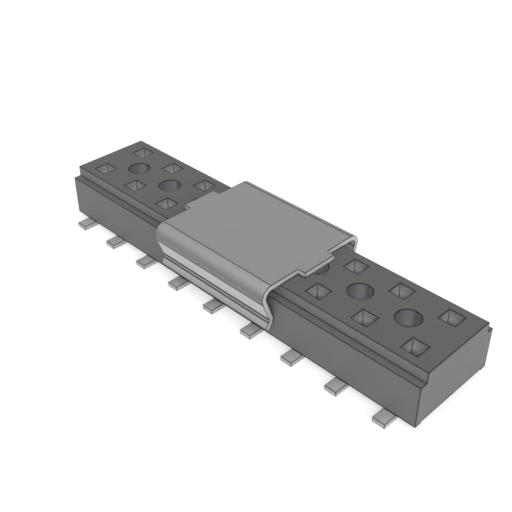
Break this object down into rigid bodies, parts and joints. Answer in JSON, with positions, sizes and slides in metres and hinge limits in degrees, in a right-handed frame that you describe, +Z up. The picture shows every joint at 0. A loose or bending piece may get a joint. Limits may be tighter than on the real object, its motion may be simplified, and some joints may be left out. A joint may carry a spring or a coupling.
{
  "type": "pcb socket",
  "caption": "Low-profile surface-mount socket strip for two rows of square pins, with folded spring contacts and a removable sheet-metal pick-up clip.",
  "frame": {"origin": "on the board, at the middle of the strip, level with the undersides of the contact tails", "axes": "+X along the strip, +Y across it towards the back row, +Z up out of the pin entries"},
  "size_m": [0.018, 0.0052, 0.0025],
  "materials": {
    "housing_plastic": "fine spark-eroded texture, high-temperature moulding resin",
    "spring_steel": "bright rolled stainless spring strip",
    "tin_plate": "matte tin plate over copper alloy strip"
  },
  "bodies": {
    "root": {"housing": "housing_plastic", "pick_up_clip": "spring_steel", "contact_front_1": "tin_plate", "contact_front_2": "tin_plate", "contact_front_3": "tin_plate", "contact_front_4": "tin_plate", "contact_front_5": "tin_plate", "contact_front_6": "tin_plate", "contact_front_7": "tin_plate", "contact_front_8": "tin_plate", "contact_front_9": "tin_plate", "contact_back_1": "tin_plate", "contact_back_2": "tin_plate", "contact_back_3": "tin_plate", "contact_back_4": "tin_plate", "contact_back_5": "tin_plate", "contact_back_6": "tin_plate", "contact_back_7": "tin_plate", "contact_back_8": "tin_plate", "contact_back_9": "tin_plate"}
  },
  "joints": []
}
